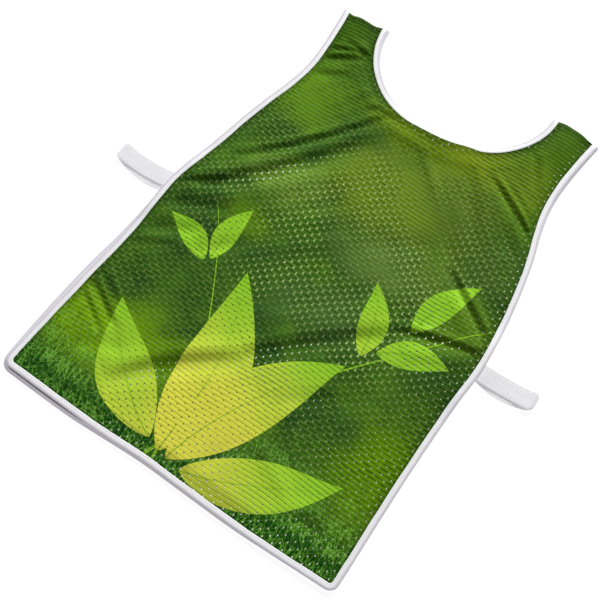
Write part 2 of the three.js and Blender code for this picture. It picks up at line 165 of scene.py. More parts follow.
# Round the neck, 0 at the right shoulder and 1 at the left: how far the front's edge curls under,
# and how far the back's edge shows inside the front's
NECK_TURN = columns("turn roll back_peek", [
    (-0.1, 0.05, 0),
    (0.12, 0.1, 0),
    (0.24, 0.18, 0),
    (0.31, 0.4, 0),
    (0.35, 0.8, 0),
    (0.38, 1, 0),
    (0.49, 1, 0),
    (0.52, 0.85, 0),
    (0.57, 0.5, 0.2),
    (0.64, 0.15, 0.8),
    (0.7, 0, 0.8),
    (0.8, 0, 1.2),
    (0.92, 0, 2.2),
    (1.1, 0, 4),
])
# The shoulders' folded edges
LEFT_SHOULDER = columns("across top", [
    (-202, 344.5), (-193, 342), (-184, 340.5), (-172, 343.5),
    (-158, 343.5), (-146, 343), (-135, 346), (-124, 348),
])
RIGHT_SHOULDER = columns("across top", [
    (141, 354), (150, 355), (160, 357), (172, 357.2),
    (188, 356), (200, 352), (207, 351), (216, 351),
])


def read(table, place, name, at):
    """Value of a named column at a place, on a smooth curve through the table's rows."""
    places, values = table[place], table[name]
    slopes = np.empty_like(values)
    slopes[1:-1] = (values[2:] - values[:-2]) / (places[2:] - places[:-2])
    slopes[0] = (values[1] - values[0]) / (places[1] - places[0])
    slopes[-1] = (values[-1] - values[-2]) / (places[-1] - places[-2])
    at = np.asarray(at, float)
    i = np.clip(np.searchsorted(places, at) - 1, 0, len(places) - 2)
    span = places[i + 1] - places[i]
    t = (at - places[i]) / span
    rising = t * t * (3 - 2 * t)
    return (
        (1 - rising) * values[i]
        + rising * values[i + 1]
        + t * (1 - t) * span * ((1 - t) * slopes[i] - t * slopes[i + 1])
    )


def read_within(table, place, name, at):
    """The same, but held at the table's first and last row beyond them."""
    return read(table, place, name, np.clip(at, table[place][0], table[place][-1]))


def smoothstep(low, high, at):
    t = np.clip((at - low) / (high - low), 0, 1)
    return t * t * (3 - 2 * t)


def neck_turn(x, y):
    """How far round the neck a point lies: 0 at the right end of its ellipse, and 1 at the left."""
    turn = -np.arctan2((y - NECK_LINE) / NECK_DEPTH, (x - NECK_ACROSS) / NECK_HALF_WIDTH) / math.pi
    return np.where(turn < -0.5, turn + 2, turn)


class Cut:
    """The outline of one panel as it lies, moved in from the binding's outer edge by inset."""

    def __init__(self, is_back):
        self.is_back = is_back
        self.corner = CORNER_ROUNDS["back" if is_back else "front"]

    def side(self, sign, y, inset):
        """x of the left side where sign is -1, and of the right side where it is 1."""
        name = "left" if sign < 0 else "right"
        up = np.asarray(y, float) - HEM_LINE
        peek = read(SIDES, "up", f"{name}_peek", up) if self.is_back else 0
        return sign * (read(SIDES, "up", name, up) + peek - inset)

    def hem(self, x, inset):
        return HEM_LINE + read(HEM, "across", "back" if self.is_back else "front", x) + inset

    def shoulder(self, x):
        on_left = read_within(LEFT_SHOULDER, "across", "top", x)
        on_right = read_within(RIGHT_SHOULDER, "across", "top", x)
        return np.where(np.asarray(x) < NECK_ACROSS, on_left, on_right)

    def from_neck(self, x, y, inset):
        moved = inset - self.neck_peek(neck_turn(x, y))
        wide, deep = NECK_HALF_WIDTH + moved, NECK_DEPTH + moved
        return (np.hypot((x - NECK_ACROSS) / wide, (y - NECK_LINE) / deep) - 1) * deep

    def neck_peek(self, turn):
        return read_within(NECK_TURN, "turn", "back_peek", turn) if self.is_back else 0.0

    def corner_centre(self, sign):
        x = self.side(sign, HEM_LINE + self.corner, self.corner)
        return float(x), float(self.hem(x, self.corner))

    def rooms(self, x, y, inset):
        """How far inside the left side, the right side, the hem and the neck each point lies."""
        from_left, from_right = x - self.side(-1, y, inset), self.side(1, y, inset) - x
        return from_left, from_right, y - self.hem(x, inset), self.from_neck(x, y, inset)

    def clear(self, x, y, inset):
        """How far inside the outline each point lies."""
        room = np.minimum.reduce([*self.rooms(x, y, inset), self.shoulder(x) - y])
        for sign in (-1, 1):
            centre_x, centre_y = self.corner_centre(sign)
            in_corner = (sign * (x - centre_x) > 0) & (y < centre_y)
            round_room = self.corner - inset - np.hypot(x - centre_x, y - centre_y)
            room = np.where(in_corner, np.minimum(room, round_room), room)
        return room

    def side_line(self, inset):
        """Points down the left side, round both corners and the hem, and up the right side."""
        tops = []
        for sign in (-1, 1):
            top = NECK_LINE
            for _ in range(SETTLE_ROUNDS):
                top = float(self.shoulder(self.side(sign, top, inset)))
            tops.append(top)
        (left_x, left_y), (right_x, right_y) = self.corner_centre(-1), self.corner_centre(1)
        radius = self.corner - inset
        turns = np.linspace(0, math.pi / 2, CORNER_STEPS)
        down = np.linspace(tops[0], left_y, int((tops[0] - left_y) / EDGE_STEP))
        along = np.linspace(left_x, right_x, int((right_x - left_x) / EDGE_STEP))
        up = np.linspace(right_y, tops[1], int((tops[1] - right_y) / EDGE_STEP))
        return np.concatenate([
            np.stack([self.side(-1, down, inset), down], 1)[:-1],
            np.stack([left_x - radius * np.cos(turns), left_y - radius * np.sin(turns)], 1),
            np.stack([along, self.hem(along, inset)], 1)[1:-1],
            np.stack([right_x + radius * np.sin(turns), right_y - radius * np.cos(turns)], 1),
            np.stack([self.side(1, up, inset), up], 1)[1:],
        ])

    def neck_line(self, inset):
        """Points from the right shoulder down round the neck and up to the left shoulder."""
        wide, deep = NECK_HALF_WIDTH + inset, NECK_DEPTH + inset
        ends = []
        for sign in (1, -1):
            rise = 0.0
            for _ in range(SETTLE_ROUNDS):
                top = float(self.shoulder(NECK_ACROSS + sign * wide * math.cos(rise)))
                rise = math.asin((top - NECK_LINE) / deep)
            ends.append(rise if sign > 0 else -math.pi - rise)
        turns = np.linspace(ends[0], ends[1], int(math.pi * wide / EDGE_STEP))
        peek = self.neck_peek(-turns / math.pi)
        x, y = NECK_ACROSS + (wide - peek) * np.cos(turns), NECK_LINE + (deep - peek) * np.sin(turns)
        return np.stack([x, y], 1)

    def outline(self, inset):
        """The whole outline, with the cloth on its left: sides and hem, shoulder, neck, shoulder."""
        sides, neck = self.side_line(inset), self.neck_line(inset)
        shoulders = []
        for start, end in ((sides[-1], neck[0]), (neck[-1], sides[0])):
            x = np.linspace(start[0], end[0], int(abs(end[0] - start[0]) / EDGE_STEP))[1:-1]
            shoulders.append(np.stack([x, self.shoulder(x)], 1))
        return np.concatenate([sides, shoulders[0], neck, shoulders[1]])


# How the layers lie: levels of the middle of each cloth, raised and level where the binding
# wraps it, and the front's rise over the elastics at its sides
CLOTH_THICK = 0.7
BACK_LEVEL = 0.65
BACK_EDGE_LEVEL = 1.15
FRONT_LEVEL = 5.9
FRONT_HIGHEST = 9.9
FRONT_EDGE_LEVEL = 3.3
EDGE_STRIP = 12.3
EDGE_RAMP = 20
CREASE_RAMP = 8
LAYER_GAP = 1.5
SOFT_LANDING = 0.5
ELASTIC_LIFT = {"y": -24, "flat": 34, "ramp": 42, "across": 60, "rise": 2.6}
CORNER_LIFT = {"x": -262, "y": -354, "reach": 75, "rise": 1.7}
SHOULDER_TURN = 4.5
TAPE_OUTSIDE = 1.3
TAPE_HALF_THICK = 0.95

# The long soft folds of the front. Each runs from x1, y1 to x2, y2 and bows to its left. rise is
# its height over the cloth around it, or its depth.
FRONT_FOLDS = columns("x1 y1 x2 y2 bow width rise", [
    (-224, -32, -40, 176, -2, 16, -1.6),
    (-176, -24, -42, 132, 0, 14, 2.2),
    (-228, 62, -150, 150, 3, 12, 1.6),
    (-238, -62, -146, -14, 3, 9, -2.8),
    (-232, -36, -150, 12, 3, 11, 2.2),
    (-236, -104, -160, -62, 2, 10, -2.4),
    (-150, -90, -96, -34, 0, 10, -2.2),
    (-120, -20, -20, 84, 4, 9, -1.4),
    (-96, -60, 10, 40, 3, 10, 1.4),
    (140, 196, 226, 142, 3, 11, 2.2),
    (160, 52, 240, -2, -3, 10, 1.6),
    (62, 172, 152, 70, 3, 10, -2.2),
    (12, 214, 124, 106, 3, 8, 2.2),
    (158, 192, 200, 136, 2, 9, -2),
    (236, -16, 150, -52, -2, 11, 2),
    (104, -14, -26, -118, 4, 14, 2.2),
    (-228, -196, -150, -262, 3, 12, -1.8),
    (160, -130, 170, -300, 2, 20, 2.2),
    (99, -150, 98, -215, 0, 10, -2.2),
    (-60, 196, 30, 226, 4, 12, 1.4),
    (60, -250, 150, -300, 4, 12, 1.4),
    (40, -210, 160, -130, 5, 12, -1.4),
    (-226, -300, -150, -250, 4, 10, -1.4),
    (120, -320, 214, -262, 4, 11, 1.2),
    (20, -330, 60, -250, 2, 11, -1.2),
    (-130, 190, -84, 262, 3, 9, 1.2),
    (30, 40, 110, 96, 4, 12, -1.2),
])
# Its sharper creases, where the cloth steps down: rise is the step's height on the line's left
# and its depth on the right.
FRONT_CREASES = columns("x1 y1 x2 y2 bow width rise", [
    (-192, 60, -44, 243, -8.5, 5, 2.7),
    (-216, -8, -52, 190, -10, 9, 3.2),
    (116, 232, 226, 166, 3, 4.2, 2.5),
    (126, 240, 214, 188, 3, 4, 0.9),
    (138, 84, 252, 12, 1, 4.6, 2.4),
    (118, -33, 244, 4, 5, 5, 2.4),
    (-24, -176, 128, -32, 6, 10, 2.5),
    (-144, -292, -16, -172, 8, 11, 3),
    (96, 224, 152, 134, 0, 9, 1.5),
    (-202, 248, -118, 300, -3, 4.4, 2.3),
    (-196, 272, -114, 307, -2, 4, 1.8),
    (-166, 300, -108, 294, 1, 4, 1.7),
    (-196, 226, -130, 256, -3, 6, 1.2),
    (150, 298, 180, 244, 1, 5.5, 1.5),
    (-84, 224, -16, 241, 2, 6, 1.7),
    (217, -242, 208, -182, 0, 4.6, 2),
    (199, -248, 190, -198, 0, 4.6, 1.6),
    (-236, -20, -170, 26, 3, 6, 1.8),
    (-238, -128, -176, -92, 2, 6, 1.2),
    (-256, -186, -172, -230, 2, 4, 1.4),
    (-256, -204, -178, -250, 2, 4, 1.3),
    (-250, -168, -190, -202, 1, 4, 1),
])


def across_folds(folds, x, y):
    """For each fold of a table: how strong it is at each point, how far aside, and its rise."""
    for x1, y1, x2, y2, bow, width, rise in zip(*folds.values()):
        dx, dy = x2 - x1, y2 - y1
        long = math.hypot(dx, dy)
        along = np.clip(((x - x1) * dx + (y - y1) * dy) / long**2, 0, 1)
        hump = 4 * along * (1 - along)
        aside = ((y - y1) * dx - (x - x1) * dy) / long - bow * hump
        yield np.sqrt(hump), aside / width, rise


def fold_rise(folds, x, y):
    """How far a table of soft folds lifts the cloth at each point."""
    return sum(rise * strong * np.exp(-(aside**2)) for strong, aside, rise in across_folds(folds, x, y))


def crease_rise(creases, x, y):
    """How far a table of creases lifts the cloth at each point."""
    steps = across_folds(creases, x, y)
    return sum(rise * strong * aside * np.exp(0.5 - aside**2 / 2) for strong, aside, rise in steps)


def insideness(cut, x, y, ramp=EDGE_RAMP):
    """0 on the level strip along the bound edges, 1 well inside them."""
    return math.prod(smoothstep(0, ramp, room) for room in cut.rooms(x, y, EDGE_STRIP))


BACK_CUT, FRONT_CUT = Cut(is_back=True), Cut(is_back=False)
# The back lies flatter, with a few soft rises where the front's folds press less
BACK_FOLDS = columns("x1 y1 x2 y2 bow width rise", [
    (-220, -60, -60, 150, 6, 16, 1.4),
    (-180, 120, -90, 250, 4, 15, 1.1),
    (70, 240, 210, 150, 4, 16, 1.3),
    (110, 60, 236, -40, -6, 15, 1.4),
    (-150, -290, 20, -170, 6, 18, 1.2),
    (60, -260, 210, -180, -5, 17, 1.2),
    (-40, 40, 60, 150, 4, 16, 0.9),
])


def back_level(x, y):
    inside = insideness(BACK_CUT, x, y)
    folded = BACK_LEVEL + np.maximum(fold_rise(BACK_FOLDS, x, y), 0)
    return BACK_EDGE_LEVEL + (folded - BACK_EDGE_LEVEL) * inside


def edge_lift(x, y):
    """The front's rise where an elastic passes under its edge, and at the corner that stands up."""
    beside = np.minimum(*FRONT_CUT.rooms(x, y, EDGE_STRIP)[:2])
    flat, ramp = ELASTIC_LIFT["flat"], ELASTIC_LIFT["ramp"]
    along = 1 - smoothstep(flat, flat + ramp, np.abs(y - ELASTIC_LIFT["y"]))
    over_band = ELASTIC_LIFT["rise"] * along * (1 - smoothstep(0, ELASTIC_LIFT["across"], beside))
    away = np.hypot(x - CORNER_LIFT["x"], y - CORNER_LIFT["y"])
    return over_band + CORNER_LIFT["rise"] * (1 - smoothstep(0, CORNER_LIFT["reach"], away))


def front_level(x, y):
    folded = FRONT_LEVEL + fold_rise(FRONT_FOLDS, x, y)
    level = FRONT_EDGE_LEVEL + (folded - FRONT_EDGE_LEVEL) * insideness(FRONT_CUT, x, y)
    level = level + crease_rise(FRONT_CREASES, x, y) * insideness(FRONT_CUT, x, y, CREASE_RAMP)
    level = level + edge_lift(x, y)
    level = FRONT_HIGHEST - SOFT_LANDING * np.logaddexp(0, (FRONT_HIGHEST - level) / SOFT_LANDING)
    lowest = back_level(x, y) + LAYER_GAP
    level = lowest + SOFT_LANDING * np.logaddexp(0, (level - lowest) / SOFT_LANDING)
    turned = smoothstep(0, 1, (FRONT_CUT.shoulder(x) - y) / SHOULDER_TURN) ** 0.5
    return lowest + (level - lowest) * turned


# Where the front's neck edge curls under, it stands higher and takes its binding with it
CURL_LONG = 8.0
CURL_ANGLE = 2.6
CURL_RISE = 5.4
CURL_RISE_POWER = 0.6
CURL_REACH = 42.0
LEAST_ANGLE = 0.0001
LEAST_SLOPE = 0.000001


def lie_flat(x, y, level, offset):
    return np.column_stack([x, y, level + offset])


def neck_curl(x, y, level, offset):
    """Points of the front's cloth or binding, curled down at the neck's edge."""
    roll = np.maximum(read_within(NECK_TURN, "turn", "roll", neck_turn(x, y)), 0)
    depth = FRONT_CUT.from_neck(x, y, 0)
    near = 1 - smoothstep(CURL_LONG, CURL_REACH, depth)
    angle = np.maximum(CURL_ANGLE * roll, LEAST_ANGLE)
    radius = CURL_LONG / angle
    over = np.maximum(CURL_LONG - depth, 0)
    bent = over / radius
    lost = CURL_LONG - np.sin(np.minimum(angle, math.pi / 2)) * (radius + TAPE_HALF_THICK)
    moved = (radius + offset) * np.sin(bent) - over + np.maximum(lost, 0) * near
    height = level + offset * np.cos(bent) - radius * (1 - np.cos(bent))
    height = height + CURL_RISE * roll**CURL_RISE_POWER * near
    out_x, out_y = (NECK_ACROSS - x) / NECK_HALF_WIDTH**2, (NECK_LINE - y) / NECK_DEPTH**2
    long = np.maximum(np.hypot(out_x, out_y), LEAST_SLOPE)
    return np.column_stack([x + moved * out_x / long, y + moved * out_y / long, height])


# The knit: eyelets in rows along the width, every other row moved by half a step, with a rib
# between each two rows. The rows wander a little as the cloth lies.
EYELET_STEP = 14.4
ROW_STEP = 5.8
EYELET_WIDE = 1.7
EYELET_LONG = 3.0
EYELET_POINTS = 8
EYELET_RANGE = (0.6, 1.25)
PRESSED_BY = 0.3
PRESSED_RIGHT = (40, 130)
PRESSED_LOW = (-130, -40)
PRESSED_LEFT = (-230, -150)
RIB_RISE = 0.24
RIB_RANGE = (0.12, 1)
RIM_CLEAR = 1.0
KNIT_TOP = 360
KNIT_STEPS_ASIDE = 19
# Waves over the cloth: their height, the millimetres to a radian across and up it, and their start
WANDER_ASIDE = columns("high across up start", [(0.9, 61, 38, 0.4), (0.6, -90, 27, 2.0)])
WANDER_ALONG = columns("high across up start", [(1.3, 39, 120, 1.2), (0.7, 17, -60, 3.1)])
# Places between the eyelets, in steps and rows. The inner face has only those on a ridge.
BETWEEN_EYELETS = columns("aside ahead on_ridge", [
    (0.5, 0, 1), (0.5, 0.25, 0), (0, 0.5, 1), (0.5, 0.5, 1), (0, 0.75, 0),
])


def waves(table, x, y):
    rows = zip(*table.values())
    return sum(high * np.sin(x / across + y / up + start) for high, across, up, start in rows)


def wander(x, y):
    """How far the knit's rows and wales are moved at each point."""
    return waves(WANDER_ASIDE, x, y), waves(WANDER_ALONG, x, y)


def knit_place(x, y):
    """Place in the knit, before it wandered, of each point of the laid cloth."""
    aside, along = wander(x, y)
    return x - aside, y - along


def laid_place(u, v):
    x, y = u, v
    for _ in range(SETTLE_ROUNDS):
        aside, along = wander(x, y)
        x, y = u + aside, v + along
    return x, y


def rib_rise(x, y):
    """The rib's height, which is higher where the cloth is slack."""
    _, v = knit_place(x, y)
    slack = 0.55 + 0.45 * np.sin(x / 53 + 1.3) * np.sin(y / 41 - x / 97)
    slack = slack + 0.25 * np.sin(x / 19 + y / 31)
    return -RIB_RISE * np.clip(slack, *RIB_RANGE) * np.cos(2 * math.pi * v / ROW_STEP)


def eyelet_size(x, y):
    """The eyelets are pulled open in some places and pressed nearly shut in others."""
    pull = np.sin(x / 47 + y / 71 + 0.7) * np.sin(y / 39 - x / 83 + 1.9) + 0.5 * np.sin(x / 23 + 0.4)
    pressed = smoothstep(*PRESSED_RIGHT, x) * (1 - smoothstep(*PRESSED_LOW, y))
    pressed = np.maximum(pressed, 1 - smoothstep(*PRESSED_LEFT, x + 0.2 * y))
    return np.clip(0.95 + 0.22 * pull, *EYELET_RANGE) * (1 - PRESSED_BY * pressed)


def knit_points(cut):
    """Rims of the eyelets inside the cut, and the points between them that carry the ribs."""
    rows = np.arange(math.floor(HEM_LINE / ROW_STEP), math.ceil(KNIT_TOP / ROW_STEP))
    steps = np.arange(-KNIT_STEPS_ASIDE, KNIT_STEPS_ASIDE + 1)
    row, step = (grid.ravel() for grid in np.meshgrid(rows, steps))
    u = (step + 0.5 * (row % 2)) * EYELET_STEP
    v = row * ROW_STEP
    x, y = laid_place(u, v)
    turns = np.linspace(0, 2 * math.pi, EYELET_POINTS, endpoint=False) + math.pi / 2
    size = eyelet_size(x, y)[:, None]
    rim_x = x[:, None] + 0.5 * EYELET_WIDE * size * np.cos(turns)
    rim_y = y[:, None] + 0.5 * EYELET_LONG * size * np.sin(turns)
    open_here = (cut.clear(rim_x, rim_y, TAPE_OUTSIDE) > RIM_CLEAR).all(1)
    rims = np.stack([rim_x, rim_y], 2)[open_here]
    fine, plain = [], []
    for aside, ahead, on_ridge in zip(*BETWEEN_EYELETS.values()):
        at = np.stack(laid_place(u + aside * EYELET_STEP, v + ahead * ROW_STEP), 1)
        at = at[cut.clear(*at.T, TAPE_OUTSIDE) > RIM_CLEAR]
        fine.append(at)
        if on_ridge:
            plain.append(at)
    return rims, np.concatenate(fine), np.concatenate(plain)


# Where the front turns down at the shoulders it has more points, in rows below the fold
SHOULDER_ROWS = (0.9, 2.2, 3.8)
SHOULDER_SPANS = ((-200, -128), (142, 214))
SHOULDER_STEP = 5.0
SHOULDER_CLEAR = 0.5
MERGE_WITHIN = 0.0000001


def knit_face(outline, rims, points):
    """Triangles of one face of the cloth, round its eyelets. Outline first, then rims, then points."""
    first_point = len(outline) + rims.shape[0] * EYELET_POINTS
    flat = np.concatenate([outline, rims.reshape(-1, 2), points])
    loops = [(0, len(outline))]
    loops += [(len(outline) + k * EYELET_POINTS, EYELET_POINTS) for k in range(len(rims))]
    edges = [(start + k, start + (k + 1) % count) for start, count in loops for k in range(count)]
    made = delaunay_2d_cdt([Vector(p) for p in flat], edges, [], 1, MERGE_WITHIN)
    source = [min(found) for found in made[3]]
    triangles = np.array([[source[k] for k in face] for face in made[2]])
    rim = np.where((triangles >= len(outline)) & (triangles < first_point),
                   (triangles - len(outline)) // EYELET_POINTS, -1)
    in_eyelet = (rim[:, 0] >= 0) & (rim[:, 0] == rim[:, 1]) & (rim[:, 1] == rim[:, 2])
    return flat, triangles[~in_eyelet], loops


def mesh_object(name, points, faces, smooth_angle):
    mesh = bpy.data.meshes.new(name)
    mesh.from_pydata((np.asarray(points) * MM).tolist(), [], faces)
    mesh.update()
    made = bpy.data.objects.new(name, mesh)
    bpy.context.scene.collection.objects.link(made)
    bpy.context.view_layer.objects.active = made
    made.select_set(True)
    bpy.ops.object.shade_smooth_by_angle(angle=math.radians(smooth_angle))
    made.select_set(False)
    return made


def add_map(piece, name, across, along):
    """A UV map that holds, in metres, two places that are given in millimetres for each point."""
    corners = np.empty(len(piece.data.loops), np.int32)
    piece.data.loops.foreach_get("vertex_index", corners)
    places = np.stack([across, along], 1)[corners] * MM
    piece.data.uv_layers.new(name=name).data.foreach_set("uv", places.ravel())


def lay_cloth(name, cut, level):
    """A panel: its outer and inner face, joined round every eyelet and along the outline."""
    outline = cut.outline(TAPE_OUTSIDE)
    rims, fine, plain = knit_points(cut)
    if not cut.is_back:
        turned = []
        for start, end in SHOULDER_SPANS:
            x = np.arange(start, end, SHOULDER_STEP)
            turned += [np.stack([x, cut.shoulder(x) - down], 1) for down in SHOULDER_ROWS]
        turned = np.concatenate(turned)
        turned = turned[cut.clear(*turned.T, TAPE_OUTSIDE) > SHOULDER_CLEAR]
        fine = np.concatenate([fine, turned])
    top_flat, top_faces, loops = knit_face(outline, rims, fine)
    bottom_flat, bottom_faces, _ = knit_face(outline, rims, plain)
    x, y = np.concatenate([top_flat, bottom_flat]).T
    below = len(top_flat)
    half = np.where(np.arange(len(x)) < below, CLOTH_THICK / 2, -CLOTH_THICK / 2)
    points = (lie_flat if cut.is_back else neck_curl)(x, y, level(x, y) + rib_rise(x, y), half)
    walls = []
    for start, count in loops:
        a = start + np.arange(count)
        b = start + (np.arange(count) + 1) % count
        wall = np.stack([a, a + below, b + below, b], 1)
        walls.append(wall if start == 0 else wall[:, ::-1])
    faces = top_faces.tolist() + (bottom_faces[:, ::-1] + below).tolist()
    faces += np.concatenate(walls).tolist()
    cloth = mesh_object(name, points, faces, smooth_angle=50)
    from_edge = cut.clear(x, y, TAPE_OUTSIDE)
    add_map(cloth, "knit", *knit_place(x, y))
    add_map(cloth, "edge", from_edge, from_edge)
    inner = np.zeros(len(faces), np.int32)
    inner[slice(0, len(top_faces)) if cut.is_back else slice(len(top_faces), None)] = 1
    inner[len(top_faces) + len(bottom_faces):] = 1
    cloth.data.polygons.foreach_set("material_index", inner)
    return cloth


front_cloth = lay_cloth("front_cloth", FRONT_CUT, front_level)


# The finish of each piece is worked out from sockets: an expression on them adds its Math nodes.
class Shade:
    """A value, colour or vector in a finish."""

    def __init__(self, finish, socket):
        self.finish = finish
        self.socket = socket

    def math(self, operation, *others):
        inputs = dict(enumerate((self, *others)))
        return self.finish.node("ShaderNodeMath", {"operation": operation}, inputs)

    def __add__(self, other):
        return self.math("ADD", other)

    __radd__ = __add__

    def __sub__(self, other):
        return self.math("SUBTRACT", other)

    def __rsub__(self, other):
        return self.math("MULTIPLY", -1).math("ADD", other)

    def __mul__(self, other):
        return self.math("MULTIPLY", other)

    __rmul__ = __mul__

    def __truediv__(self, other):
        return self.math("DIVIDE", other)

    def __pow__(self, other):
        return self.math("POWER", other)


class Finish:
    """A material, and the method that adds its nodes."""

    def __init__(self, name, roughness, sheen=0.0, specular=0.3):
        self.material = bpy.data.materials.new(name)
        self.material.use_nodes = True
        self.tree = self.material.node_tree
        self.shader = self.tree.nodes["Principled BSDF"]
        self.shader.inputs["Roughness"].default_value = roughness
        self.shader.inputs["Sheen Weight"].default_value = sheen
        self.shader.inputs["Sheen Roughness"].default_value = 0.4
        self.shader.inputs["Specular IOR Level"].default_value = specular

    def node(self, kind, settings, inputs, output=0):
        made = self.tree.nodes.new(kind)
        for name, value in settings.items():
            setattr(made, name, value)
        for name, value in inputs.items():
            if isinstance(value, Shade):
                self.tree.links.new(value.socket, made.inputs[name])
            else:
                made.inputs[name].default_value = value
        return Shade(self, made.outputs[output])

    def feed(self, name, value):
        self.tree.links.new(value.socket, self.shader.inputs[name])

    def mapped(self, name):
        """The two places that a piece's map holds."""
        parts = self.tree.nodes.new("ShaderNodeSeparateXYZ")
        self.tree.links.new(self.node("ShaderNodeUVMap", {"uv_map": name}, {}).socket, parts.inputs[0])
        return Shade(self, parts.outputs[0]), Shade(self, parts.outputs[1])

    def join(self, x, y):
        return self.node("ShaderNodeCombineXYZ", {}, {0: x, 1: y})

    def step(self, value, low, high):
        """0 up to low and 1 from high, smooth between them."""
        settings = {"interpolation_type": "SMOOTHSTEP"}
        return self.node("ShaderNodeMapRange", settings, {"Value": value, "From Min": low, "From Max": high})

    def blend(self, share, first, second, kind="MIX"):
        """Colour first where share is 0, and second where it is 1."""
        settings = {"data_type": "RGBA", "blend_type": kind}
        return self.node("ShaderNodeMix", settings, {0: share, 6: first, 7: second}, output=2)

    def darken(self, share, colour, times):
        return self.blend(share, colour, times, kind="MULTIPLY")

    def glow(self, colour, strength):
        """The colour, given also as emission: painted light that stands in for the table's light coming
        through a thin cloth.
        """
        self.feed("Base Color", colour)
        self.feed("Emission Color", colour)
        self.shader.inputs["Emission Strength"].default_value = strength

    def noise(self, vector, scale, detail=2.0, roughness=0.5):
        inputs = {"Vector": vector, "Scale": scale, "Detail": detail, "Roughness": roughness}
        return self.node("ShaderNodeTexNoise", {}, inputs)

    def bump(self, height, distance, strength):
        inputs = {"Height": height, "Distance": distance, "Strength": strength}
        self.feed("Normal", self.node("ShaderNodeBump", {}, inputs))


def ink(red, green, blue):
    """A colour given as a screen shows it, from 0 to 255."""
    return (*(((c / 255 + 0.055) / 1.055) ** 2.4 for c in (red, green, blue)), 1)


# The knit's loops in metres, and the ring of bare yarn round an eyelet, in shares of its size
LOOP_WIDE = 0.0012
LOOP_LONG = 0.00145
YARN_RING = (1.1, 1.75)


def knit_surface(finish):
    """The knit's place across and along the cloth in metres, and its rib from 0 to 1."""
    across, along = finish.mapped("knit")
    rib = 0.5 - 0.5 * (along * (2 * math.pi / (ROW_STEP * MM))).math("COSINE")
    return across, along, rib


def bare_yarn(finish, across, along):
    """1 on the bare yarn that shows round each eyelet, and 0 away from it."""
    v = along / (ROW_STEP * MM)
    row = v.math("ROUND")
    u = across / (EYELET_STEP * MM) - row.math("FLOORED_MODULO", 2) * 0.5
    aside = (u - u.math("ROUND")) * (2 * EYELET_STEP / EYELET_WIDE)
    ahead = (v - row) * (2 * ROW_STEP / EYELET_LONG)
    return 1 - finish.step((aside * aside + ahead * ahead) ** 0.5, *YARN_RING)


def knit_bump(finish, across, along, rib):
    """Small loops along each rib, and the finer rib between them."""
    fine_rib = (along * (4 * math.pi / (ROW_STEP * MM))).math("COSINE")
    loops = (across * (2 * math.pi / LOOP_WIDE)).math("SINE")
    loops = loops * (along * (2 * math.pi / LOOP_LONG)).math("SINE")
    finish.bump(rib * 0.2 + fine_rib * -0.1 + loops * 0.07, distance=0.0006, strength=0.8)


# The print: a mottled green ground with soft washes of colour, blades along the hem, and a spray
# of broad leaves on slim stems. Places and sizes are in millimetres on the cloth.
DEEP_GREEN = ink(48, 90, 32)
MID_GREEN = ink(86, 134, 28)
STRAP_GREEN = ink(68, 112, 0)
HEM_GREEN = ink(14, 94, 22)
BLADE_GREEN = ink(134, 204, 70)
LEAF_LIME = ink(158, 220, 50)
LEAF_YELLOW = ink(242, 240, 84)
LEAF_VEIN = ink(112, 184, 36)
BARE_YARN = ink(214, 234, 150)
# The colour of the painted highlight on the ribs' crests
LIT_RIB = ink(150, 188, 60)
PRINT_DEPTH = (0.98, 0.98, 0.98, 1)
WASHES = columns("x y wide high red green blue share", [
    (-90, 300, 230, 150, 68, 112, 0, 0.95),
    (-150, 195, 90, 80, 106, 156, 24, 0.85),
    (50, 225, 170, 50, 116, 148, 8, 0.9),
    (85, 40, 120, 60, 116, 150, 62, 0.7),
    (95, 245, 85, 55, 136, 162, 22, 0.9),
    (185, 265, 90, 130, 82, 122, 0, 0.9),
    (148, 238, 62, 60, 114, 148, 24, 0.7),
    (92, 180, 75, 50, 110, 144, 36, 0.75),
    (10, 125, 110, 85, 132, 160, 36, 0.75),
    (-100, 62, 80, 50, 128, 168, 60, 0.7),
    (40, -60, 130, 60, 78, 118, 58, 0.6),
    (195, 20, 70, 60, 96, 136, 20, 0.75),
    (-120, -10, 60, 30, 104, 148, 10, 0.7),
    (130, 120, 60, 90, 98, 130, 30, 0.7),
    (185, 110, 60, 60, 88, 122, 42, 0.6),
    (-175, -250, 150, 75, 132, 182, 0, 1.0),
    (-40, -230, 140, 60, 104, 148, 2, 0.8),
    (205, -205, 70, 110, 112, 160, 0, 0.9),
])
HEM_SHADE = (HEM_LINE, HEM_LINE + 85)
GRASS_TOPS = (HEM_LINE + 40, HEM_LINE + 150)
# The grass: blades to a metre across them and along them, and their soft edge. Then, for each
# layer of blades, its lean, its drift, its strength, where a blade starts in the noise, its colour.
BLADES_ACROSS = 470
BLADES_ALONG = 34
BLADE_SOFT = 0.08
BLADE_SHADE = ink(0, 58, 12)
BLADE_LAYERS = [
    (0.15, 6.3, 0.5, 0.5, BLADE_SHADE), (-0.8, 4.9, 0.4, 0.54, BLADE_SHADE),
    (0.4, 0.0, 0.5, 0.615, BLADE_GREEN), (-0.35, 3.7, 0.5, 0.615, BLADE_GREEN),
    (1.0, 8.1, 0.5, 0.625, BLADE_GREEN), (-1.3, 2.4, 0.45, 0.63, BLADE_GREEN),
    (0.05, 5.2, 0.5, 0.62, BLADE_GREEN),
]
STEMS = columns("foot low top lean curl wide", [
    (-44, -345, 60, 0.5, 0.0006, 2.6),
    (-30, -345, -10, -0.05, -0.0011, 2.2),
])
